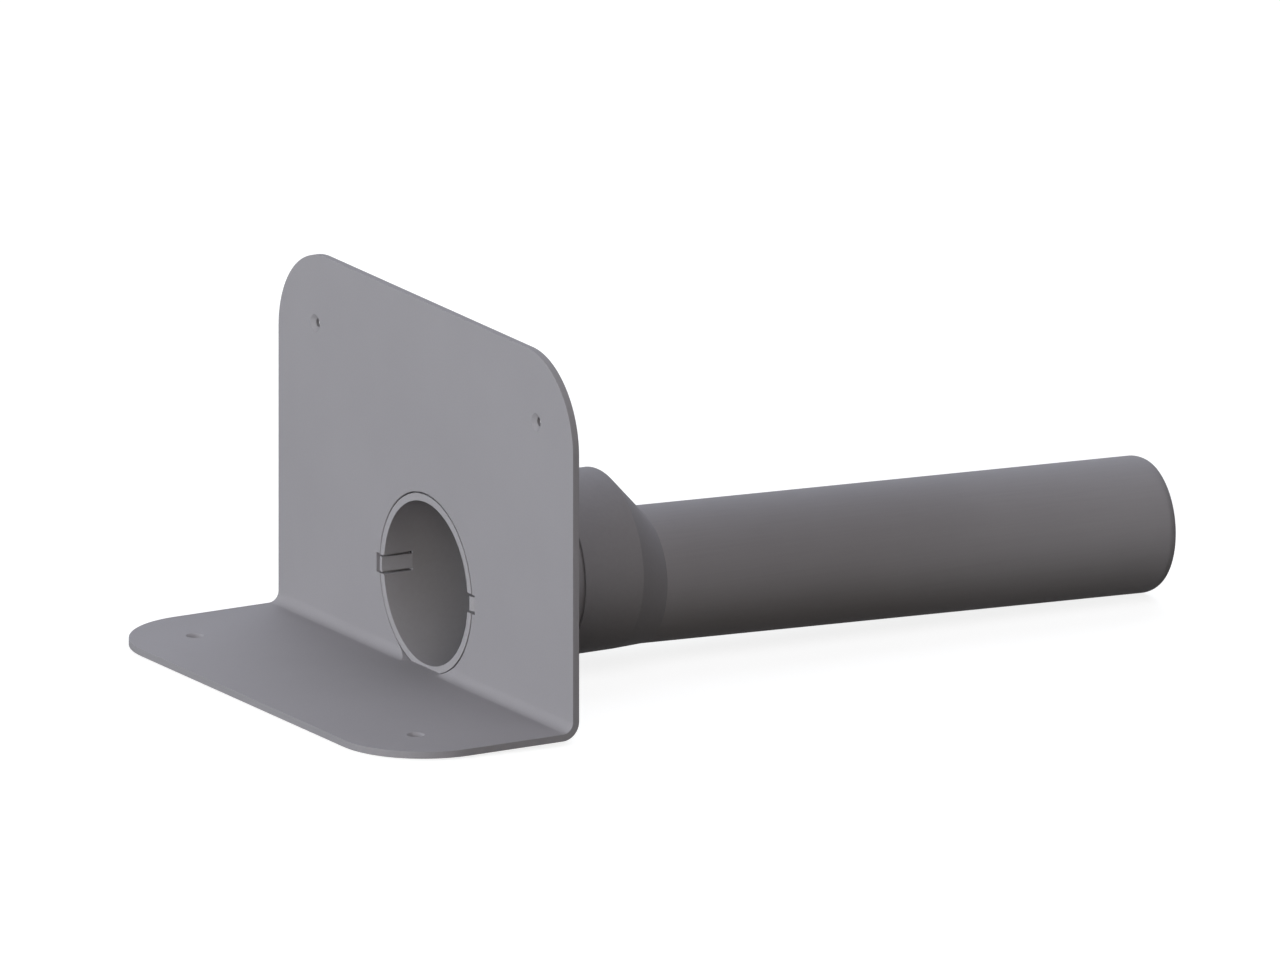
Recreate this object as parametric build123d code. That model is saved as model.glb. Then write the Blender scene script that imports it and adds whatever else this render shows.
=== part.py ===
from build123d import *

import os

# Roof drain for a parapet: a folded flange, a snap-in inlet tube, a reducer and a pipe with a fall.
# The origin is the centre of the inlet bore on the upright's front face. +X is the way the
# water flows and +Z is up. Sizes are in millimetres and angles in degrees.

# Flange: one sheet folded to an L, with a deck leg in front and an upright against the parapet
flange_width = 320.0
upright_height = 205.0
deck_depth = 115.0
sheet_thickness = 4.0
fold_radius = 6.0
corner_radius = 50.0

# Nail holes: one near each outer corner, countersunk from the visible side
nail_hole_diameter = 5.0
nail_head_diameter = 10.0
nail_head_angle = 120.0
nail_side_distance = 40.0
nail_end_distance = 39.5

# Inlet tube: a thick collar in the flange's hole, a shoulder and a sleeve behind the sheet, then
# a thin wall
inlet_bore_diameter = 91.0
inlet_wall = 2.1
bore_sill = 1.5
collar_wall = 2.0
collar_length = 26.0
collar_clearance = 0.8
shoulder_height = 4.4
shoulder_thickness = 3.0
sleeve_wall = 2.4
spigot_lead_length = 3.0
spigot_lead_depth = 1.0

# Snap tongues: strips of the wall at 3 and 9 o'clock that lean outwards, with a barb at the tip
tongue_width = 8.0
tongue_length = 18.0
tongue_slit = 1.5
barb_height = 3.3
pocket_depth = 2.0
pocket_clearance = 0.4

# Outlet: a socket for the inlet tube, an eccentric reducer and the sloping pipe
socket_distance = 72.0
socket_length = 36.0
insertion_depth = 30.0
joint_clearance = 0.2
outlet_wall = 2.2
mouth_lead_length = 3.5
mouth_lead_depth = 0.4
reducer_length = 22.0
pipe_diameter = 75.0
pipe_length = 320.0
pipe_lead_length = 5.0
pipe_lead_depth = 1.5
fall_angle = 2.5

# Radii and places that follow from the sizes above
inlet_radius = inlet_bore_diameter / 2
tube_radius = inlet_radius + inlet_wall
collar_radius = tube_radius + collar_wall
sleeve_radius = collar_radius + sleeve_wall
shoulder_radius = collar_radius + shoulder_height
hole_radius = collar_radius + collar_clearance
window_width = tongue_width + 2 * tongue_slit
barb_tip = collar_radius + barb_height
deck_top = -(inlet_radius + bore_sill)
tube_length = socket_distance + insertion_depth
socket_bore = tube_radius + joint_clearance
socket_radius = socket_bore + outlet_wall
socket_end = socket_distance + socket_length
pipe_radius = pipe_diameter / 2
pipe_bore = pipe_radius - outlet_wall
pipe_start = Plane(
    origin=(socket_end + reducer_length, 0, pipe_radius - socket_radius),
    x_dir=(0, 1, 0),
    z_dir=Vector(1, 0, 0).rotate(Axis.Y, fall_angle),
)


def make_flange():
    """A sheet folded along Y, with rounded corners, nail holes and the inlet's seat."""
    with BuildPart() as flange:
        with BuildSketch(Plane.XZ):
            with BuildLine():
                FilletPolyline(
                    (-deck_depth, deck_top),
                    (0, deck_top),
                    (0, deck_top + upright_height),
                    radius=fold_radius,
                )
                offset(amount=sheet_thickness, side=Side.RIGHT, closed=True)
            make_face()
        extrude(amount=flange_width / 2, both=True)
        upright_corners = flange.edges().filter_by(Axis.X).group_by(Axis.Z)[-1]
        deck_corners = flange.edges().filter_by(Axis.Z).group_by(Axis.X)[0]
        fillet(upright_corners + deck_corners, corner_radius)
        with Locations(*nail_seats()):
            CounterSinkHole(
                nail_hole_diameter / 2,
                nail_head_diameter / 2,
                sheet_thickness,
                nail_head_angle,
            )
    return flange.part - mouth_hole() - barb_pockets()


def nail_seats():
    """Planes on the visible side of both legs, two near each leg's free end."""
    side = flange_width / 2 - nail_side_distance
    seats = []
    for y in (-side, side):
        on_upright = (0, y, deck_top + upright_height - nail_end_distance)
        on_deck = (nail_end_distance - deck_depth, y, deck_top)
        seats.append(Plane(on_upright, z_dir=(-1, 0, 0)))
        seats.append(Plane(on_deck, z_dir=(0, 0, 1)))
    return seats


def mouth_hole():
    """The hole runs through the upright and the fold's fillet, and spares the deck's top face."""
    through = along_flow(hole_radius, 0, sheet_thickness)
    cove = along_flow(hole_radius, -fold_radius, 0)
    above_deck = Box(
        fold_radius,
        2 * hole_radius,
        2 * hole_radius,
        align=(Align.MAX, Align.CENTER, Align.MIN),
    )
    return through + (cove & Pos(Z=deck_top) * above_deck)


def barb_pockets():
    """One bar across the hole leaves a shallow pocket on each side of it."""
    return Box(
        pocket_depth,
        2 * (barb_tip + pocket_clearance),
        window_width,
        align=(Align.MIN, Align.CENTER, Align.CENTER),
    )


def along_flow(radius, start, end):
    """A bar about the inlet's axis, between two distances behind the upright's front face."""
    bar = Cylinder(radius, end - start, align=(Align.CENTER, Align.CENTER, Align.MIN))
    return Pos(X=start) * Rot(Y=90) * bar


def make_inlet_tube():
    """A turned tube with two windows, and a tongue that springs from the end of each."""
    shoulder_end = sheet_thickness + shoulder_thickness
    with BuildPart() as tube:
        with BuildSketch(Plane.XZ):
            with BuildLine():
                Polyline(
                    (0, inlet_radius),
                    (0, collar_radius),
                    (sheet_thickness, collar_radius),
                    (sheet_thickness, shoulder_radius),
                    (shoulder_end, shoulder_radius),
                    (shoulder_end, sleeve_radius),
                    (collar_length - sleeve_wall - collar_wall, sleeve_radius),
                    (collar_length, tube_radius),
                    (tube_length - spigot_lead_length, tube_radius),
                    (tube_length, tube_radius - spigot_lead_depth),
                    (tube_length, inlet_radius),
                    close=True,
                )
            make_face()
        revolve(axis=Axis.X)
    return tube.part - tongue_windows() + make_tongues()


def tongue_windows():
    """One bar across the collar. The sleeve outside it stays whole and closes the slits."""
    bar = Box(
        tongue_length,
        2 * hole_radius,
        window_width,
        align=(Align.MIN, Align.CENTER, Align.CENTER),
    )
    return bar & along_flow(hole_radius, 0, tongue_length)


def make_tongues():
    """Two strips of one turned ring. It is flush with the bore at its root and leans outwards to
    its tip, where the barb's back bears on the pocket's floor."""
    with BuildPart() as ring:
        with BuildSketch(Plane.XZ):
            with BuildLine():
                Polyline(
                    (0, tube_radius),
                    (0, collar_radius),
                    (pocket_depth, barb_tip),
                    (pocket_depth, collar_radius),
                    (tongue_length, tube_radius),
                    (tongue_length, inlet_radius),
                    close=True,
                )
            make_face()
        revolve(axis=Axis.X)
    strip = Box(
        tongue_length,
        2 * barb_tip,
        tongue_width,
        align=(Align.MIN, Align.CENTER, Align.CENTER),
    )
    return ring.part & strip


def make_outlet_reducer():
    """The socket, its stop ring and a cone whose lowest line is level with the socket's."""
    socket_face = Plane((socket_end, 0, 0), x_dir=(0, 1, 0), z_dir=(-1, 0, 0))
    socket = crowned_tube(
        socket_radius, socket_bore, socket_length, mouth_lead_length, mouth_lead_depth
    )
    stop = along_flow(socket_radius, tube_length, socket_end)
    stop -= along_flow(inlet_radius, tube_length, socket_end)
    cone = taper(socket_radius, pipe_radius) - taper(inlet_radius, pipe_bore)
    return socket_face * socket + stop + cone


def make_outlet_pipe():
    """A plain pipe, welded end to end to the reducer with the same bore and outside."""
    pipe = crowned_tube(pipe_radius, pipe_bore, pipe_length, pipe_lead_length, pipe_lead_depth)
    return pipe_start * pipe


def crowned_tube(radius, bore, length, lead_length, lead_depth):
    """A tube along +Z whose outside curves in over a short lead at its far end."""
    with BuildPart() as tube:
        with BuildSketch(Plane.XZ):
            with BuildLine():
                side = Line((radius, 0), (radius, length - lead_length))
                lead = TangentArc(side @ 1, (radius - lead_depth, length), tangent=side % 1)
                Polyline(lead @ 1, (bore, length), (bore, 0), side @ 0)
            make_face()
        revolve(axis=Axis.Z)
    return tube.part


def taper(start_radius, end_radius):
    """An eccentric cone from the socket's end to the start of the pipe, which is tilted."""
    with BuildPart() as cone:
        with BuildSketch(Plane((socket_end, 0, 0), x_dir=(0, 1, 0), z_dir=(1, 0, 0))):
            Circle(start_radius)
        with BuildSketch(pipe_start):
            Circle(end_radius)
        loft(ruled=True)
    return cone.part


pieces = {
    "flange": make_flange(),
    "inlet_tube": make_inlet_tube(),
    "outlet_reducer": make_outlet_reducer(),
    "outlet_pipe": make_outlet_pipe(),
}
os.makedirs("parts", exist_ok=True)
for node, piece in pieces.items():
    export_step(piece, f"parts/{node}.step")
    print(node, round(piece.volume), "mm3")
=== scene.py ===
# %% [markdown]
# # A parapet roof drain
# A flat roof with a low wall round it drains sideways, through the wall. The drain has a sheet
# flange that is nailed into the corner between roof and wall, an inlet tube that snaps into a
# hole in the flange, a reducer that narrows the waterway, and a pipe with a slight fall.
# All of it is matt grey rigid vinyl. The imported CAD model comes in first, as a fixed frame: it
# says where everything is, in metres, and nothing in it is moved. The box round each of its parts
# is kept, so that each finished piece can be compared with it.

# %% Load the imported drain
import math

import bmesh
import bpy
from mathutils import Euler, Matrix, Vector


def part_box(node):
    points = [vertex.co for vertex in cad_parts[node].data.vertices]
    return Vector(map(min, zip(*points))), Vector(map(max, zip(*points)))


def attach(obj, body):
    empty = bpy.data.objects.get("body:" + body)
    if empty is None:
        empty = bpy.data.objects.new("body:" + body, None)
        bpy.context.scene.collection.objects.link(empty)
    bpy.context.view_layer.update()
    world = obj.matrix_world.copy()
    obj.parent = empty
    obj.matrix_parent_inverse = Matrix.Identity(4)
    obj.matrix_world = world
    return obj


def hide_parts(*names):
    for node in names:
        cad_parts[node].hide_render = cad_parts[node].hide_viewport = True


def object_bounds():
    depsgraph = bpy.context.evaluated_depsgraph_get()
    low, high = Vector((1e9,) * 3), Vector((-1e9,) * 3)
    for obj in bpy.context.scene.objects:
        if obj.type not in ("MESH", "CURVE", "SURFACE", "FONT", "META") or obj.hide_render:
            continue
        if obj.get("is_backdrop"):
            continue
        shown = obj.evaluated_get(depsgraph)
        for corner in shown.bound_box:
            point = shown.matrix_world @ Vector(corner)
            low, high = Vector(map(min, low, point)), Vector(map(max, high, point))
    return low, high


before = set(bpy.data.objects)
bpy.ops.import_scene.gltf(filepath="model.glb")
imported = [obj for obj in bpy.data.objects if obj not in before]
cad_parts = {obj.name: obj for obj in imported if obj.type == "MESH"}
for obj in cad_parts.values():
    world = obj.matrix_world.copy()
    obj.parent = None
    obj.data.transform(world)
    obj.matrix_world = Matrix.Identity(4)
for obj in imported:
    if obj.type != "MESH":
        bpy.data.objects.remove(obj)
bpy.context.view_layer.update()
print("nodes:", sorted(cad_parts))

# %% [markdown]
# ## Millimetres and selections
# Drawings of such parts are in millimetres and Blender works in metres, so every size below goes
# through one factor. Blender's modelling operators act on whatever is selected. By hand that is
# done with the mouse. In a script everything is deselected first, and then a test is put to each
# vertex, such as "lies at the front", which is easier to read later than a list of numbers. A
# vertex passes such a test when it is within a fiftieth of a millimetre of the place.

# %% Helpers for edit mode
MM = 0.001
NEAR = 0.02


def leave_edit():
    """Back to object mode, where modifiers and whole objects are handled."""
    if bpy.context.mode != "OBJECT":
        bpy.ops.object.mode_set(mode="OBJECT")


def select_only(piece=None):
    """Deselects everything, and picks one piece if one is named."""
    leave_edit()
    bpy.ops.object.select_all(action="DESELECT")
    if piece is not None:
        piece.select_set(True)
        bpy.context.view_layer.objects.active = piece


def edit(piece):
    """Goes into edit mode on one piece alone."""
    select_only(piece)
    bpy.ops.object.mode_set(mode="EDIT")
    bpy.ops.mesh.select_mode(type="VERT")


def choose(piece, test):
    """Selects the vertices whose place in millimetres passes the test, and the edges between."""
    bpy.ops.mesh.select_all(action="DESELECT")
    shape = bmesh.from_edit_mesh(piece.data)
    for vertex in shape.verts:
        vertex.select_set(test(vertex.co / MM))
    shape.select_flush(True)
    bmesh.update_edit_mesh(piece.data)


print("a millimetre is", MM, "Blender units, and a vertex is near within", NEAR, "mm")

# %% [markdown]
# ## Modifiers and cuts
# A modifier stays live until it is applied. The pieces here are to be kept as plain meshes, so
# each modifier is applied as soon as it is made. Cutting is done with a Boolean modifier and a
# tool shape that is thrown away afterwards, as a drill or a saw would be put down.


# %% Helpers for modifiers and cuts
def apply_modifier(piece, modifier):
    """Makes a modifier's result the piece's own mesh."""
    select_only(piece)
    bpy.ops.object.modifier_apply(modifier=modifier.name)


def carve(piece, tool, operation="DIFFERENCE"):
    """Cuts one shape out of another, or joins it on, and removes the tool."""
    modifier = piece.modifiers.new("carve", "BOOLEAN")
    modifier.operation = operation
    modifier.object = tool
    modifier.solver = "EXACT"
    apply_modifier(piece, modifier)
    bpy.data.objects.remove(tool)
    print(piece.name, "after", operation.lower(), "has", len(piece.data.polygons), "faces")


# %% [markdown]
# ## Closing a shape
# A mesh that is to be cut, or kept as a file of its own, has to be watertight. Three things spoil
# that: points that lie on top of each other, where a spun shape meets its own start or where a
# Boolean has cut through a corner, slivers between such points, and faces that look inwards. So
# doubles are merged first, loose edges are deleted, four-sided gaps that a sliver leaves are
# filled, and then the normals are turned outwards. The number of open edges is printed. It should
# be 0.


# %% Close and measure a mesh
SAME_POINT = 0.001
CUBIC_CM = 0.01**3


def close_mesh(piece):
    """Merges doubles, clears what slivers leave, and turns the faces outwards."""
    edit(piece)
    bpy.ops.mesh.select_all(action="SELECT")
    bpy.ops.mesh.remove_doubles(threshold=SAME_POINT * MM)
    bpy.ops.mesh.delete_loose()
    bpy.ops.mesh.select_all(action="SELECT")
    bpy.ops.mesh.fill_holes(sides=4)
    bpy.ops.mesh.normals_make_consistent(inside=False)
    leave_edit()


def report(piece):
    """Prints a piece's faces, open edges and volume."""
    shape = bmesh.new()
    shape.from_mesh(piece.data)
    loose = sum(not edge.is_manifold for edge in shape.edges)
    volume = round(shape.calc_volume(signed=True) / CUBIC_CM, 1)
    faces = len(shape.faces)
    shape.free()
    print(f"{piece.name}: {faces} faces, {loose} open edges, {volume} cm3")


# %% [markdown]
# ## The flange: a sheet that is folded
# The real flange is a 4 mm sheet of rigid vinyl, warmed along one line and folded over a bar.
# It could be built as a solid block and hollowed, but it is easier and truer to do as the
# maker does: lay out a flat sheet, fold it, round its corners, and only then give it thickness.
# The fold is a spin of the sheet's back edge by a quarter turn about the axis of the bar.

# %% Lay out the sheet and fold it
flange_low, flange_high = (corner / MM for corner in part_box("flange"))
SHEET = 4
FOLD_INSIDE = 6
FOLD_STEPS = 12
deck_top = flange_low.z + SHEET
fold_axis = Vector((-FOLD_INSIDE, 0, deck_top + FOLD_INSIDE))
half_width = flange_high.y

select_only()
bpy.ops.mesh.primitive_plane_add(size=1)
flange = bpy.context.object
flange.name = "folded_sheet_flange"
edit(flange)
bpy.ops.transform.resize(value=((fold_axis.x - flange_low.x) * MM, 2 * half_width * MM, 1))
middle = (fold_axis.x + flange_low.x) / 2
bpy.ops.transform.translate(value=(middle * MM, 0, deck_top * MM))
choose(flange, lambda at: at.x > fold_axis.x - NEAR)
bpy.ops.mesh.spin(
    steps=FOLD_STEPS, angle=math.pi / 2, center=fold_axis * MM, axis=(0, 1, 0)
)
bpy.ops.mesh.extrude_region_move(
    TRANSFORM_OT_translate={"value": (0, 0, (flange_high.z - fold_axis.z) * MM)}
)
leave_edit()
print("folded sheet:", [round(size / MM, 2) for size in flange.dimensions], "mm")

# %% [markdown]
# ## Round corners and thickness
# The four free corners have a 50 mm radius, so that no point sticks up under the roofing felt.
# A bevel of the corner's single vertex draws that arc. Solidify then gives the sheet its 4 mm
# towards the side that is nailed down, and its even offset keeps the fold as thick as the rest.
# Last, the cut edge gets a 0.2 mm bevel: a routed edge is always broken a little, and that
# thin line is what catches the light along it. Only edges that turn by more than 50 degrees get
# it, so the fold and the round corners stay as they are.

# %% Corners, thickness and broken edges
CORNER = 50
CORNER_STEPS = 28
BROKEN_EDGE = 0.2
EDGE_STEPS = 4
SHARP_FROM = math.radians(50)


def is_free_corner(at):
    """On the upright's top edge or the deck's front edge."""
    return at.z > flange_high.z - NEAR or at.x < flange_low.x + NEAR


edit(flange)
choose(flange, is_free_corner)
bpy.ops.mesh.bevel(
    affect="VERTICES", offset=CORNER * MM, segments=CORNER_STEPS, clamp_overlap=False
)
leave_edit()

thickness = flange.modifiers.new("thickness", "SOLIDIFY")
thickness.thickness = SHEET * MM
thickness.offset = -1
thickness.use_even_offset = True
apply_modifier(flange, thickness)
close_mesh(flange)

edges = flange.modifiers.new("broken edges", "BEVEL")
edges.width = BROKEN_EDGE * MM
edges.segments = EDGE_STEPS
edges.limit_method = "ANGLE"
edges.angle_limit = SHARP_FROM
apply_modifier(flange, edges)
report(flange)

# %% [markdown]
# ## Turned shapes
# Every round piece, and every tool that cuts a round hole, is made as on a lathe: half of its
# section is drawn beside the axis, and a full spin turns it round. The section is drawn with one
# vertex that is extruded from corner to corner. Corners that are rounded on the real piece get
# a small vertex bevel while the section is still flat, which is far easier than rounding the
# finished edges afterwards.


# %% Draw a section and turn it
SIDES = 120
FLOW = (1, 0, 0)


def start_section(name, first):
    """A plane that is merged to one vertex at the first corner."""
    select_only()
    bpy.ops.mesh.primitive_plane_add(size=MM)
    piece = bpy.context.object
    piece.name = name
    edit(piece)
    bpy.ops.mesh.select_all(action="SELECT")
    bpy.ops.mesh.merge(type="CENTER")
    bpy.ops.transform.translate(value=(first[0] * MM, 0, first[1] * MM))
    return piece


def draw_section(name, corners, rounded=(), radius=0):
    """A closed outline in the XZ plane. Corners are (distance along the axis, radius) in mm, and
    those named as rounded are broken by the radius."""
    piece = start_section(name, corners[0])
    for here, there in zip(corners, corners[1:]):
        step = ((there[0] - here[0]) * MM, 0, (there[1] - here[1]) * MM)
        bpy.ops.mesh.extrude_region_move(TRANSFORM_OT_translate={"value": step})
    bpy.ops.mesh.select_all(action="SELECT")
    bpy.ops.mesh.edge_face_add()
    if rounded:
        spots = [Vector((x, 0, z)) for x, z in rounded]
        choose(piece, lambda at: any((at - spot).length < NEAR for spot in spots))
        bpy.ops.mesh.bevel(affect="VERTICES", offset=radius * MM, segments=EDGE_STEPS)
    bpy.ops.mesh.select_all(action="SELECT")
    bpy.ops.mesh.delete(type="ONLY_FACE")
    return piece


def turn(piece, sides=SIDES):
    """Spins the section once round the X axis."""
    bpy.ops.mesh.select_all(action="SELECT")
    bpy.ops.mesh.spin(steps=sides, angle=2 * math.pi, center=(0, 0, 0), axis=FLOW)
    close_mesh(piece)
    return piece


print("a turned shape has", SIDES, "sides, one every", 360 / SIDES, "degrees")

# %% [markdown]
# ## The hole for the inlet
# The inlet's hole runs through the upright and bites into the inside of the fold, but it leaves
# the deck's top face whole, because the water has to slide off the deck into the tube. One plain
# bar can't cut that. So a first bar goes through the upright, and a second is trimmed level with
# the deck by a bisect before it cuts the fold. Where there is room, a cutter runs a little past
# the surface it cuts, because a Boolean is surest where no two faces lie on each other. Where it
# has to end level with one, as on the deck, the exact solver copes.

# %% Cut the inlet's hole
HOLE = 50.4
OVERSHOOT = 1
OVERLAP = 0.5


def bar(name, radius, start, end):
    """A solid round bar along the flow."""
    return turn(draw_section(name, [(start, 0), (start, radius), (end, radius), (end, 0)]))


def trim_below(piece, height):
    """Takes away all of a piece that is lower than a height in mm, and closes the cut."""
    edit(piece)
    bpy.ops.mesh.select_all(action="SELECT")
    bpy.ops.mesh.bisect(
        plane_co=(0, 0, height * MM), plane_no=(0, 0, 1), clear_inner=True, use_fill=True
    )
    leave_edit()


carve(flange, bar("through cutter", HOLE, 0, SHEET + OVERSHOOT))
fold_cutter = bar("fold cutter", HOLE, -FOLD_INSIDE - OVERSHOOT, OVERLAP)
trim_below(fold_cutter, deck_top)
carve(flange, fold_cutter)
report(flange)

# %% [markdown]
# ## The hole's broken edge
# The hole's front edge is broken by 0.35 mm, so that the inlet finds its way in. It matters more
# than its size suggests: from where the camera stands, the broken edge covers the dark gap round
# the inlet on the left and widens it on the right, as in the photograph. It could be a bevel of
# the hole's edge, but the fold breaks that edge into pieces. A blunt cone cuts it in one go, and
# is trimmed so that it ends where the fold starts.

# %% Break the hole's front edge
HOLE_EDGE = 0.35
PAST = 0.1

edge_section = [
    (-PAST, 0),
    (-PAST, HOLE + HOLE_EDGE + PAST),
    (HOLE_EDGE + PAST, HOLE - PAST),
    (HOLE_EDGE + PAST, 0),
]
edge_cutter = turn(draw_section("edge cutter", edge_section))
trim_below(edge_cutter, fold_axis.z)
carve(flange, edge_cutter)
report(flange)

# %% [markdown]
# ## Pockets for the snap tongues
# Beside the hole, at 3 and 9 o'clock, the sheet has two shallow pockets that the barbs of the
# inlet's tongues snap into. One block across the hole cuts both. They are as wide as the windows
# in the inlet's rim, and their floors lie half-way through the sheet.

# %% Cut the pockets
POCKET_DEPTH = 2
POCKET_REACH = 53.3
WINDOW = 11


def block(name, low, high):
    """A box between two corners in mm, as a start for a tool or a tongue."""
    low, high = Vector(low), Vector(high)
    select_only()
    bpy.ops.mesh.primitive_cube_add(size=1)
    piece = bpy.context.object
    piece.name = name
    edit(piece)
    bpy.ops.transform.resize(value=(high - low) * MM)
    bpy.ops.transform.translate(value=(high + low) / 2 * MM)
    leave_edit()
    return piece


pocket_cutter = block(
    "pocket cutter",
    (-OVERSHOOT, -POCKET_REACH, -WINDOW / 2),
    (POCKET_DEPTH, POCKET_REACH, WINDOW / 2),
)
carve(flange, pocket_cutter)
close_mesh(flange)
report(flange)

# %% [markdown]
# ## A cutter for the nail holes
# Two nails hold each leg, near its free corners, and their heads sink into a 100 degree
# countersink so that the felt lies flat over them. The countersink takes half of the sheet, and
# what is left of the hole is so short that a sliver of the white background shows through it.
# Hole and countersink are cut in one go by one turned cutter, which is modelled once.

# %% Turn the nail cutter
NAIL = 5
NAIL_HEAD = 10
NAIL_SIDES = 48
FROM_SIDE = 40
FROM_END = 39.5
SINK_ANGLE = math.radians(100)

sink_slope = math.tan(SINK_ANGLE / 2)
nail_section = [
    (-OVERSHOOT, 0),
    (-OVERSHOOT, NAIL_HEAD / 2 + OVERSHOOT * sink_slope),
    ((NAIL_HEAD - NAIL) / 2 / sink_slope, NAIL / 2),
    (SHEET + OVERSHOOT, NAIL / 2),
    (SHEET + OVERSHOOT, 0),
]
nail_cutter = turn(draw_section("nail cutter", nail_section), sides=NAIL_SIDES)
report(nail_cutter)

# %% [markdown]
# ## Four nail holes
# The cutter is copied to the four places, each copy with its own mesh. The two copies for the
# deck are turned to point down.


# %% Cut the nail holes
def cut_nail_hole(place, downwards):
    """Copies the cutter to a place in mm and takes it out of the flange."""
    tool = nail_cutter.copy()
    tool.data = nail_cutter.data.copy()
    bpy.context.scene.collection.objects.link(tool)
    edit(tool)
    bpy.ops.mesh.select_all(action="SELECT")
    if downwards:
        bpy.ops.transform.rotate(value=-math.pi / 2, orient_axis="Y", center_override=(0, 0, 0))
    bpy.ops.transform.translate(value=Vector(place) * MM)
    leave_edit()
    carve(flange, tool)
    print("nail hole at", [round(value, 2) for value in place], "mm")


nail_side = half_width - FROM_SIDE
for y in (-nail_side, nail_side):
    cut_nail_hole((0, y, flange_high.z - FROM_END), downwards=False)
    cut_nail_hole((flange_low.x + FROM_END, y, deck_top), downwards=True)
bpy.data.objects.remove(nail_cutter)
report(flange)

# %% [markdown]
# ## The inlet tube
# The inlet is a moulding. Seen from the roof it is a smooth 91 mm bore with a rim 4.1 mm thick,
# level with the flange. Behind the sheet a shoulder stops it from being pulled out and a sleeve
# closes the slits of its snap tongues. Further back only the thin inner wall goes on, into the
# reducer's socket. The edges of the rim and the shoulder are broken by a quarter of a millimetre,
# because no mould leaves a moulding with knife edges.

# %% Turn the inlet tube
BORE = 45.5
TUBE = 47.6
COLLAR = 49.6
SLEEVE = 52
SHOULDER = 54
SHOULDER_THICKNESS = 3
SHOULDER_END = SHEET + SHOULDER_THICKNESS
COLLAR_END = 26
TUBE_END = 102
PLUG_LEAD = 3
PLUG_LEAD_DEPTH = 1
INLET_LIP = 0.25

inlet_section = [
    (0, BORE),
    (0, COLLAR),
    (SHEET, COLLAR),
    (SHEET, SHOULDER),
    (SHOULDER_END, SHOULDER),
    (SHOULDER_END, SLEEVE),
    (COLLAR_END - (SLEEVE - TUBE), SLEEVE),
    (COLLAR_END, TUBE),
    (TUBE_END - PLUG_LEAD, TUBE),
    (TUBE_END, TUBE - PLUG_LEAD_DEPTH),
    (TUBE_END, BORE),
]
lips = [(0, BORE), (0, COLLAR), (SHEET, SHOULDER), (SHOULDER_END, SHOULDER)]
inlet = turn(draw_section("moulded_inlet_tube", inlet_section, lips, INLET_LIP))
report(inlet)

# %% [markdown]
# ## Windows for the snap tongues
# At 3 and 9 o'clock a window is cut through the rim, as long as the tongue that will stand in it
# and wider by a slit on each side. Both windows come from one cutter, a block right across the
# tube that is first trimmed to a round, so that it stops short of the sleeve's outside.

# %% Cut the windows
TONGUE_LENGTH = 18

windows = block(
    "windows",
    (-OVERSHOOT, -SHOULDER, -WINDOW / 2),
    (TONGUE_LENGTH, SHOULDER, WINDOW / 2),
)
window_reach = bar("window reach", HOLE, -2 * OVERSHOOT, TONGUE_LENGTH + OVERSHOOT)
carve(windows, window_reach, "INTERSECT")
carve(inlet, windows)

# %% [markdown]
# ## Snap tongues
# In each window stands a tongue: a strip of the wall 8 mm wide and 18 mm long. It is flush with
# the bore at its root and leans outwards to its tip, where a barb springs out into the flange's
# pocket. The lean turns its face a little towards the roof, so it looks lighter than the bore
# beside it. Both tongues come from one turned ring, trimmed by a block. The ring's root runs a
# little way into the wall, because two solids join more safely where they overlap than where
# they only touch. The edge at the root turns by less than seven degrees. It is marked sharp, so
# that the shading later keeps it as the crisp line that it is.

# %% Join the tongues
TONGUE = 8
BARB_TIP = 52.9
ROOT = 0.6
INTO_WALL = 0.5

tongue_section = [
    (0, TUBE),
    (0, COLLAR),
    (POCKET_DEPTH, BARB_TIP),
    (POCKET_DEPTH, COLLAR),
    (TONGUE_LENGTH, TUBE),
    (TONGUE_LENGTH + ROOT, TUBE - INTO_WALL),
    (TONGUE_LENGTH + ROOT, BORE + INTO_WALL),
    (TONGUE_LENGTH, BORE),
]
tongues = turn(draw_section("tongues", tongue_section))
tongue_strip = block(
    "tongue strip",
    (-OVERSHOOT, -SHOULDER, -TONGUE / 2),
    (TONGUE_LENGTH + OVERSHOOT, SHOULDER, TONGUE / 2),
)
carve(tongues, tongue_strip, "INTERSECT")
carve(inlet, tongues, "UNION")
close_mesh(inlet)


def is_tongue_root(at):
    """On the line across the bore where a tongue starts."""
    on_bore = abs(math.hypot(at.y, at.z) - BORE) < NEAR
    return on_bore and abs(at.x - TONGUE_LENGTH) < NEAR and abs(at.z) < TONGUE / 2 + NEAR


edit(inlet)
choose(inlet, is_tongue_root)
bpy.ops.mesh.mark_sharp()
leave_edit()
report(inlet)

# %% [markdown]
# ## The reducer
# The reducer is a socket for the inlet tube, a ring inside it that stops the tube, and a cone
# that narrows to the pipe. It is one moulding. The socket and the ring are round about the
# inlet's axis, so they are turned like the inlet. The socket's mouth curves in over its last few
# millimetres, which gives it a soft outer edge.

# %% Turn the socket and its stop ring
SOCKET = 50
SOCKET_BORE = 47.8
SOCKET_START = 72
SOCKET_END = 108
MOUTH_LEAD = 3.5
MOUTH_LEAD_DEPTH = 0.4
SOCKET_LIP = 0.3
LEAD_STEPS = 5


def lead(outside, end, length, depth):
    """Points of an arc that curves in from the outside by a depth, towards an end at x."""
    radius = (length**2 + depth**2) / (2 * depth)
    turn_by = math.asin(length / radius)
    points = []
    for step in range(LEAD_STEPS + 1):
        angle = turn_by * step / LEAD_STEPS
        x = end - length + radius * math.sin(angle)
        points.append((x, outside - radius * (1 - math.cos(angle))))
    return points


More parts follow.
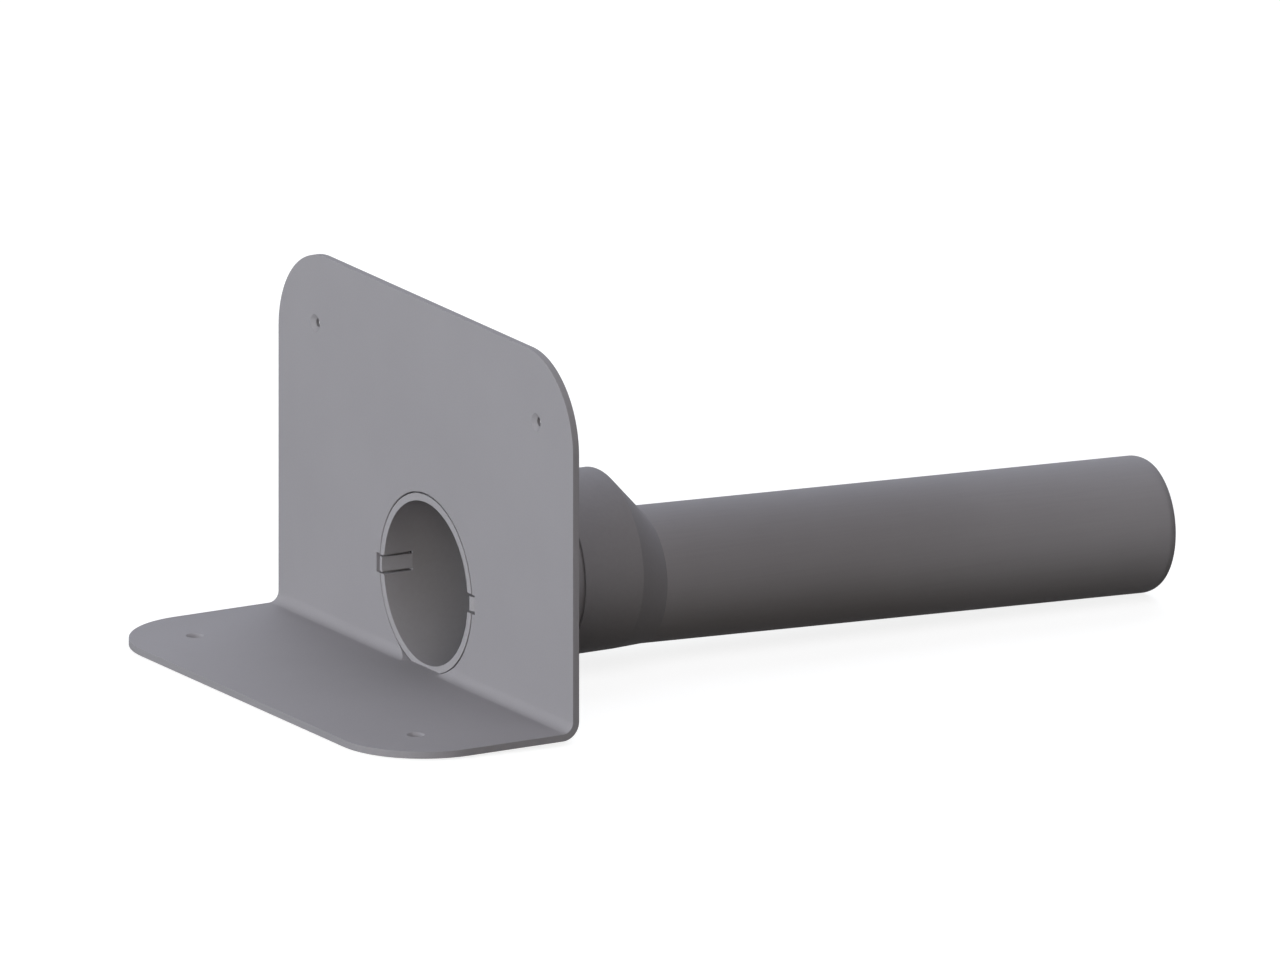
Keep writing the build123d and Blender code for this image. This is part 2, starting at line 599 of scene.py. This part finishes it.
mouth = [
    (2 * SOCKET_START - x, radius)
    for x, radius in lead(SOCKET, SOCKET_START, MOUTH_LEAD, MOUTH_LEAD_DEPTH)
]
socket_section = [
    (SOCKET_END, SOCKET),
    *mouth,
    (SOCKET_START, SOCKET_BORE),
    (TUBE_END, SOCKET_BORE),
    (TUBE_END, BORE),
    (SOCKET_END, BORE),
]
socket_lips = [mouth[-1], (SOCKET_START, SOCKET_BORE)]
reducer = turn(draw_section("moulded_reducer", socket_section, socket_lips, SOCKET_LIP))
report(reducer)

# %% [markdown]
# ## The cone
# The cone grows from the two edges at the socket's far end, once the flat ring between them is
# deleted. Each loop of edges is extruded, shrunk, tilted by the fall of the pipe and moved, and a
# bridge closes the end between them. Each loop is picked out by its radius, and the two tilted
# ends together by a slice that is thick enough to hold them. The cone isn't straight: its lowest
# line runs on level from the socket, so that no water stands in front of it. The line where the
# socket turns into the cone is marked sharp, because the photograph shows a clear edge there.

# %% Draw out the cone
CONE = 22
PIPE = 37.5
PIPE_BORE = 35.3
FALL = math.radians(2.5)
RADIUS_ROOM = 0.5
SLICE = 3

socket_back = (SOCKET_END * MM, 0, 0)
pipe_start = Vector((SOCKET_END + CONE, 0, PIPE - SOCKET))


def at_socket_end(at):
    """In the plane where the socket ends and the cone begins."""
    return abs(at.x - SOCKET_END) < NEAR


edit(reducer)
choose(reducer, at_socket_end)
bpy.ops.mesh.delete(type="FACE")
for radius, end_radius in ((SOCKET, PIPE), (BORE, PIPE_BORE)):
    choose(
        reducer,
        lambda at: at_socket_end(at) and abs(math.hypot(at.y, at.z) - radius) < RADIUS_ROOM,
    )
    bpy.ops.mesh.extrude_region_move()
    shrink = end_radius / radius
    bpy.ops.transform.resize(value=(1, shrink, shrink), center_override=socket_back)
    bpy.ops.transform.rotate(value=-FALL, orient_axis="Y", center_override=socket_back)
    bpy.ops.transform.translate(value=(CONE * MM, 0, pipe_start.z * MM))
choose(reducer, lambda at: at.x > pipe_start.x - SLICE)
bpy.ops.mesh.bridge_edge_loops()
close_mesh(reducer)

edit(reducer)
choose(reducer, at_socket_end)
bpy.ops.mesh.mark_sharp()
leave_edit()
report(reducer)

# %% [markdown]
# ## The pipe
# The outlet is plain extruded pipe, 75 mm outside with a 2.2 mm wall, welded end to end to the
# reducer. Its free end curves in over the last 5 mm, so that it slides into a downpipe's socket.
# It is turned lying level along the flow, and then tilted by its fall and moved to its start.

# %% Turn the pipe and tilt it
PIPE_LENGTH = 320
PIPE_LEAD = 5
PIPE_LEAD_DEPTH = 1.5
PIPE_LIP = 0.2

free_end = lead(PIPE, PIPE_LENGTH, PIPE_LEAD, PIPE_LEAD_DEPTH)
pipe_section = [(0, PIPE_BORE), (0, PIPE), *free_end, (PIPE_LENGTH, PIPE_BORE)]
pipe_lips = [free_end[-1], (PIPE_LENGTH, PIPE_BORE)]
pipe = turn(draw_section("extruded_outlet_pipe", pipe_section, pipe_lips, PIPE_LIP))
edit(pipe)
bpy.ops.mesh.select_all(action="SELECT")
bpy.ops.transform.rotate(value=-FALL, orient_axis="Y", center_override=(0, 0, 0))
bpy.ops.transform.translate(value=pipe_start * MM)
leave_edit()
report(pipe)

# %% [markdown]
# ## Each piece stands for its CAD node
# The modelled pieces take the CAD nodes' places in the picture, and each lies in the same box
# as its node. How far the corners of the two boxes are apart is printed in millimetres.

# %% Set the pieces against the frame
pieces = {
    "flange": (flange, "flange_sheet"),
    "inlet_tube": (inlet, "inlet_moulding"),
    "outlet_reducer": (reducer, "reducer_moulding"),
    "outlet_pipe": (pipe, "outlet_pipe"),
}
for node, (piece, slot) in pieces.items():
    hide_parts(node)
    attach(piece, "root")
    places = [vertex.co for vertex in piece.data.vertices]
    node_low, node_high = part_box(node)
    off_low = [(min(p[i] for p in places) - node_low[i]) / MM for i in range(3)]
    off_high = [(max(p[i] for p in places) - node_high[i]) / MM for i in range(3)]
    print(node, "off by", [round(v, 3) for v in off_low + off_high], "mm")

# %% [markdown]
# ## Smooth where it curves, crisp where it is cut
# The round pieces are made of flat strips. Shading by angle blends the strips into one
# curve and keeps real corners crisp. The angle is well under the 40 degrees at which the nail
# holes' countersinks leave the sheet, so that their rims stay clear. On a large flat face next
# to a tiny bevel the blending would tilt the light over the whole face, so a weighted normal
# gives the large face the say.

# %% Shade the pieces
CRISP_FROM = math.radians(28)

for piece, _ in pieces.values():
    select_only(piece)
    bpy.ops.object.shade_smooth_by_angle(angle=CRISP_FROM, keep_sharp_edges=True)
    weighted = piece.modifiers.new("weighted normals", "WEIGHTED_NORMAL")
    weighted.keep_sharp = True
    apply_modifier(piece, weighted)
print("shaded", len(pieces), "pieces")

# %% [markdown]
# ## Colours and nodes
# A hex colour is written for the screen, and a shader works with amounts of light, so one
# function turns the one into the other. Another small function adds a shader node with its
# settings and its links, so that each material below reads like a list of what it is made of.
# Where a node has several sockets of one name, they are given by number: a Mix node takes its
# plain numbers at 2 and 3 and gives their mix at 0, and its colours at 6 and 7 and gives theirs
# at 2.


# %% Helpers for materials
def light_of(hex_colour):
    """An sRGB hex colour as linear red, green, blue and alpha."""
    values = [int(hex_colour[i : i + 2], 16) / 255 for i in (1, 3, 5)]
    linear = [v / 12.92 if v <= 0.04045 else ((v + 0.055) / 1.055) ** 2.4 for v in values]
    return (*linear, 1)


def add_node(tree, kind, inputs=None, **settings):
    """Adds a node, sets its own settings, and sets or links its inputs."""
    node = tree.nodes.new(kind)
    for name, value in settings.items():
        setattr(node, name, value)
    for name, value in (inputs or {}).items():
        if isinstance(value, bpy.types.NodeSocket):
            tree.links.new(value, node.inputs[name])
        else:
            node.inputs[name].default_value = value
    return node


def per(size):
    """The scale of a pattern whose features are this many millimetres across."""
    return 1 / (size * MM)


print("half-way grey #808080 is", round(light_of("#808080")[0], 3), "in amounts of light")

# %% [markdown]
# ## What shows on rigid vinyl
# All four pieces are PVC-U, coloured grey right through and matt. What differs is how the
# surface was made. Pressed sheet has a fine, even grain from the press plate. A moulding has a
# soft orange peel, broader and gentler. Extruded pipe has faint lines along it, drawn by the die.
# Two noises give all three: broad clouds in the colour, and a fine relief that can be stretched
# and turned to lie along a piece. A picture of a surface would do it too, but it would have to be
# unwrapped onto each piece, and these follow the solid shape by themselves.


# %% Clouds and relief
def vinyl_patterns(tree, pattern, grain, stretch, tilt):
    """The clouds mixed with the relief, and the relief alone. Sizes are in mm."""
    where = add_node(tree, "ShaderNodeTexCoord").outputs["Object"]
    along = add_node(
        tree,
        "ShaderNodeMapping",
        {"Vector": where, "Rotation": Euler((0, tilt, 0)), "Scale": stretch},
        vector_type="POINT",
    ).outputs["Vector"]
    clouds = add_node(
        tree, "ShaderNodeTexNoise", {"Vector": where, "Scale": per(pattern), "Detail": 3}
    ).outputs["Fac"]
    relief = add_node(
        tree, "ShaderNodeTexNoise", {"Vector": along, "Scale": per(grain), "Detail": 2}
    ).outputs["Fac"]
    both = add_node(tree, "ShaderNodeMix", {"Factor": 0.5, 2: clouds, 3: relief}).outputs[0]
    return both, relief


print("a 1 mm pattern has scale", round(per(1)))

# %% [markdown]
# ## The vinyl itself
# The recipe is the same for all: a grey that varies by a few percent, a roughness that varies
# with the same pattern, and a relief of one to three hundredths of a millimetre. Noise keeps
# mostly to the middle of its range, so that band is spread over the whole. The gloss is dulled
# far below that of a clean plastic, because the photograph shows no highlight anywhere, and none
# of the white floor in the pipe's dark underside.

# %% A recipe for rigid vinyl
NOISE_BAND = {"From Min": 0.3, "From Max": 0.7}
ROUGHNESS = {"To Min": 0.7, "To Max": 0.8}
VINYL_IOR = 1.53
VINYL_SPECULAR = 0.05


def rigid_vinyl(name, dark, light, pattern, grain, height, stretch=(1, 1, 1), tilt=0.0):
    """A matt vinyl between two greys. pattern, grain and height are the sizes in mm of its
    clouds and of its relief, and how high the relief stands."""
    material = bpy.data.materials.new(name)
    material.use_nodes = True
    tree = material.node_tree
    tree.nodes.clear()
    both, relief = vinyl_patterns(tree, pattern, grain, stretch, tilt)
    spread = add_node(
        tree,
        "ShaderNodeMapRange",
        {"Value": both, **NOISE_BAND, "To Min": 0.0, "To Max": 1.0},
    ).outputs["Result"]
    colour = add_node(
        tree,
        "ShaderNodeMix",
        {"Factor": spread, 6: light_of(dark), 7: light_of(light)},
        data_type="RGBA",
    ).outputs[2]
    roughness = add_node(
        tree, "ShaderNodeMapRange", {"Value": both, **NOISE_BAND, **ROUGHNESS}
    ).outputs["Result"]
    bump = add_node(
        tree, "ShaderNodeBump", {"Height": relief, "Distance": height * MM, "Strength": 1.0}
    ).outputs["Normal"]
    surface = add_node(
        tree,
        "ShaderNodeBsdfPrincipled",
        {
            "Base Color": colour,
            "Roughness": roughness,
            "Normal": bump,
            "IOR": VINYL_IOR,
            "Specular IOR Level": VINYL_SPECULAR,
        },
    ).outputs["BSDF"]
    add_node(tree, "ShaderNodeOutputMaterial", {"Surface": surface})
    print("material", name)
    return material


# %% [markdown]
# ## The finishes
# The greys are one family, neutral with the faintest touch of violet. The inlet's moulding is a
# shade lighter than the flange, partly as its own tone and partly as painted light that lifts
# its shaded bore and the tube behind the flange, and the pipe lies between them. The pressed
# sheet's grain is really finer than the picture can show, so it is drawn 0.9 mm across. The die
# lines are 1.2 mm apart round the pipe and stretched a hundred times along it, and their pattern
# is turned with the pipe, so that they run along it and not level.

# %% Give each piece its finish
GREY = ("#939094", "#989599")
# The inlet's greys are partly the moulding's own tone and partly painted light that lifts its
# shaded bore.
INLET_TONE_AND_PAINTED_LIGHT = ("#999699", "#9D9A9E")
PIPE_GREY = ("#959296", "#9A979B")
PRESSED = {"pattern": 60, "grain": 0.9, "height": 0.012}
MOULDED = {"pattern": 25, "grain": 2.5, "height": 0.03}
EXTRUDED = {"pattern": 40, "grain": 1.2, "height": 0.012, "stretch": (0.01, 1, 1), "tilt": -FALL}

finishes = {
    "flange": rigid_vinyl("rigid_vinyl_pressed_sheet", *GREY, **PRESSED),
    "inlet_tube": rigid_vinyl("rigid_vinyl_moulded_inlet", *INLET_TONE_AND_PAINTED_LIGHT, **MOULDED),
    "outlet_reducer": rigid_vinyl("rigid_vinyl_moulded_reducer", *GREY, **MOULDED),
    "outlet_pipe": rigid_vinyl("rigid_vinyl_extruded", *PIPE_GREY, **EXTRUDED),
}
for node, (piece, _) in pieces.items():
    piece.data.materials.clear()
    piece.data.materials.append(finishes[node])
    print(piece.name, "is", finishes[node].name)

# %% [markdown]
# ## Floor
# The drain lies on a plain pale floor as it would on a bench: on the inlet's shoulder and on
# the lowest line of the pipe's free end, so the floor leans by a little over one degree. A gap of
# a tenth of a millimetre keeps the floor from touching the drain.

# %% Make the floor
FLOOR_METRES = 8
UNDER = 0.1

shoulder_foot = Vector((SHOULDER_END, 0, -SHOULDER))
straight = PIPE_LENGTH - PIPE_LEAD
pipe_foot = pipe_start + Vector(
    (
        straight * math.cos(FALL) - PIPE * math.sin(FALL),
        0,
        -straight * math.sin(FALL) - PIPE * math.cos(FALL),
    )
)
lean = math.atan2(shoulder_foot.z - pipe_foot.z, pipe_foot.x - shoulder_foot.x)

select_only()
bpy.ops.mesh.primitive_plane_add(
    size=FLOOR_METRES,
    location=(shoulder_foot - Vector((0, 0, UNDER))) * MM,
    rotation=(0, lean, 0),
)
floor = bpy.context.object
floor.name = "floor"
bpy.ops.object.transform_apply(location=True, rotation=True, scale=True)
floor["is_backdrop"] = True
print("the floor leans by", round(math.degrees(lean), 2), "degrees")

# %% [markdown]
# ## A white that doesn't light the drain
# In the photograph the background is plain white. More light would get the floor there, but it
# would also wash out the drain. So Light Path gives the camera, and anything glossy or clear, a
# floor that is mostly its own white, with the drain's shadow still on it. Light that bounces off
# the floor onto the drain sees a darker floor, so that the pipe's underside stays dark.

# %% Paint the floor
FLOOR_OWN_WHITE = 0.85
FLOOR_LIT_WHITE = 0.32
FLOOR_BOUNCE = 0.1
WHITE = light_of("#FFFFFF")


def even_grey(share):
    """A grey that throws back this share of the light."""
    return (share, share, share, 1)


def seen_directly(tree):
    """1 for rays from the camera, a glossy or a clear surface, and 0 for the rest."""
    path = add_node(tree, "ShaderNodeLightPath").outputs
    either = add_node(
        tree,
        "ShaderNodeMath",
        {0: path["Is Camera Ray"], 1: path["Is Glossy Ray"]},
        operation="MAXIMUM",
    ).outputs[0]
    return add_node(
        tree, "ShaderNodeMath", {0: either, 1: path["Is Transmission Ray"]}, operation="MAXIMUM"
    ).outputs[0]


white_floor = bpy.data.materials.new("white_painted_board")
white_floor.use_nodes = True
tree = white_floor.node_tree
tree.nodes.clear()
own = add_node(tree, "ShaderNodeEmission", {"Color": WHITE, "Strength": FLOOR_OWN_WHITE})
lit = add_node(tree, "ShaderNodeBsdfDiffuse", {"Color": even_grey(FLOOR_LIT_WHITE)})
seen = add_node(tree, "ShaderNodeAddShader", {0: lit.outputs[0], 1: own.outputs[0]})
bounce = add_node(tree, "ShaderNodeBsdfDiffuse", {"Color": even_grey(FLOOR_BOUNCE)})
board = add_node(
    tree,
    "ShaderNodeMixShader",
    {"Fac": seen_directly(tree), 1: bounce.outputs[0], 2: seen.outputs[0]},
)
add_node(tree, "ShaderNodeOutputMaterial", {"Surface": board.outputs[0]})
floor.data.materials.append(white_floor)
print("material", white_floor.name)

# %% [markdown]
# ## Light
# In the photograph the upright faces the light and is by far the brightest face. The deck
# darkens towards the fold, and the pipe is lit from above and fades to a dark underside. Four
# large soft boxes do that: a strong one low in front of the upright, a weak and slightly warm
# one low on the camera's side, one high over that side, and a slightly blue one behind the drain
# as the camera sees it. The last keeps the inside of the tube and the back from going black. Far
# away, a soft box is a sun lamp with a wide angle, and lights the whole drain evenly.

# %% Set up the soft boxes
# Each has its bearing, height and width in degrees, its strength and its colour. The bearing
# starts at the upright's front and goes round towards the camera's side.
SOFT_BOXES = {
    "front_box": (7, 8, 40, 3.66, "#F7FCFF"),
    "side_box": (60, 5, 30, 0.62, "#FFF7E8"),
    "high_box": (90, 60, 50, 0.99, "#FCFCFF"),
    "rear_box": (245, 40, 60, 1.83, "#EFF6FF"),
}
LAMP_METRES = 2


def add_soft_box(name, bearing, height, width, strength, colour):
    """A wide sun. The width is the angle that the box fills as the drain sees it."""
    bearing, height = math.radians(bearing), math.radians(height)
    flat = math.cos(height)
    towards = Vector((-math.cos(bearing) * flat, -math.sin(bearing) * flat, math.sin(height)))
    bpy.ops.object.light_add(type="SUN", location=towards * LAMP_METRES)
    lamp = bpy.context.object
    lamp.name = name
    lamp.rotation_euler = towards.to_track_quat("Z", "Y").to_euler()
    lamp.data.angle = math.radians(width)
    lamp.data.energy = strength
    lamp.data.color = light_of(colour)[:3]


for name, settings in SOFT_BOXES.items():
    add_soft_box(name, *settings)
print("soft boxes:", sorted(SOFT_BOXES))

# %% [markdown]
# ## World
# Past the floor's edge the camera sees the world. It is white for the same rays that see the
# floor's own white, and gives no light of its own, so that the soft boxes alone shape the drain.

# %% Set up the world
world = bpy.data.worlds.new("studio")
bpy.context.scene.world = world
world.use_nodes = True
tree = world.node_tree
tree.nodes.clear()
sky = add_node(tree, "ShaderNodeBackground", {"Color": WHITE, "Strength": seen_directly(tree)})
add_node(tree, "ShaderNodeOutputWorld", {"Surface": sky.outputs[0]})
print("world", world.name)

# %% [markdown]
# ## Camera
# The photograph is a parallel view: edges that are parallel on the drain are parallel in the
# picture. So the camera is orthographic, turned 30 degrees to the left of straight-on to the
# drain's side and raised by 15. Its scale and aim come from the pipe's diameter and from the
# place of the inlet in the photograph.

# %% Set up the camera
AZIMUTH = math.radians(-30)
ELEVATION = math.radians(15)
PIXELS_PER_MM = 1.8413
PHOTO_WIDTH = 1280
AIM = Vector((114.1, -35.2, 52.2))
CAMERA_METRES = 3

bpy.ops.object.camera_add()
camera = bpy.context.object
camera.name = "camera"
camera.data.type = "ORTHO"
camera.data.ortho_scale = PHOTO_WIDTH / PIXELS_PER_MM * MM
backward = Vector(
    (
        math.sin(AZIMUTH) * math.cos(ELEVATION),
        -math.cos(AZIMUTH) * math.cos(ELEVATION),
        math.sin(ELEVATION),
    )
)
camera.location = AIM * MM + backward * CAMERA_METRES
camera.rotation_euler = backward.to_track_quat("Z", "Y").to_euler()
bpy.context.scene.camera = camera
bpy.context.scene.view_settings.view_transform = "Standard"
print("camera at", [round(v, 3) for v in camera.location])

# %% [markdown]
# ## The size of the dressed model
# The dressed model has to be as large as the CAD model, so the size of its box is printed.

# %% Print the size
model_low, model_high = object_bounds()
size = [round(high - low, 4) for low, high in zip(model_low, model_high)]
print("visual box in metres:", size)
